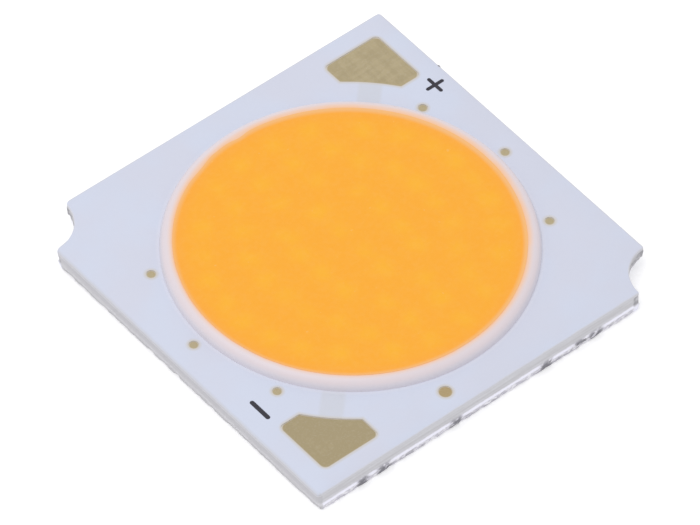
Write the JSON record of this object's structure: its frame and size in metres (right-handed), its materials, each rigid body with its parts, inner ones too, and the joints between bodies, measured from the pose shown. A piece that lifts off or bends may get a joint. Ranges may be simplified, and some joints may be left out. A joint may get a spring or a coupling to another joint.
{
  "type": "chip-on-board led",
  "caption": "Square chip-on-board LED on a notched aluminium board, with a round phosphor light area inside a white dam ring and two corner solder pads.",
  "frame": {"origin": "centre of the underside of the board", "axes": "+Z out of the light face, X and Y along the board's sides, positive pad at the +X +Y corner, notches at the other two corners"},
  "size_m": [0.019, 0.019, 0.0015],
  "materials": {
    "aluminium_plate": "punched aluminium sheet, satin faces, sheared edge",
    "insulating_laminate": "insulating resin laminate",
    "copper_foil": "etched copper foil",
    "white_mask": "white solder mask, satin",
    "gold_plating": "thin gold plating, matte",
    "white_silicone": "white silicone, smooth",
    "phosphor_silicone": "phosphor-filled silicone, smooth",
    "led_die": "sapphire die",
    "gold_wire": "gold bond wire"
  },
  "bodies": {
    "root": {"base_plate": "aluminium_plate", "bond_wires_1": "gold_wire", "bond_wires_2": "gold_wire", "bond_wires_3": "gold_wire", "bond_wires_4": "gold_wire", "bond_wires_5": "gold_wire", "copper_negative": "copper_foil", "copper_positive": "copper_foil", "copper_temperature": "copper_foil", "dam_ring": "white_silicone", "dielectric_layer": "insulating_laminate", "led_string_1": "led_die", "led_string_2": "led_die", "led_string_3": "led_die", "led_string_4": "led_die", "led_string_5": "led_die", "pad_negative": "gold_plating", "pad_positive": "gold_plating", "phosphor_fill": "phosphor_silicone", "probe_dot_1": "gold_plating", "probe_dot_2": "gold_plating", "probe_dot_3": "gold_plating", "probe_dot_4": "gold_plating", "probe_dot_5": "gold_plating", "probe_dot_6": "gold_plating", "solder_mask": "white_mask", "temperature_dot": "gold_plating"}
  },
  "joints": []
}
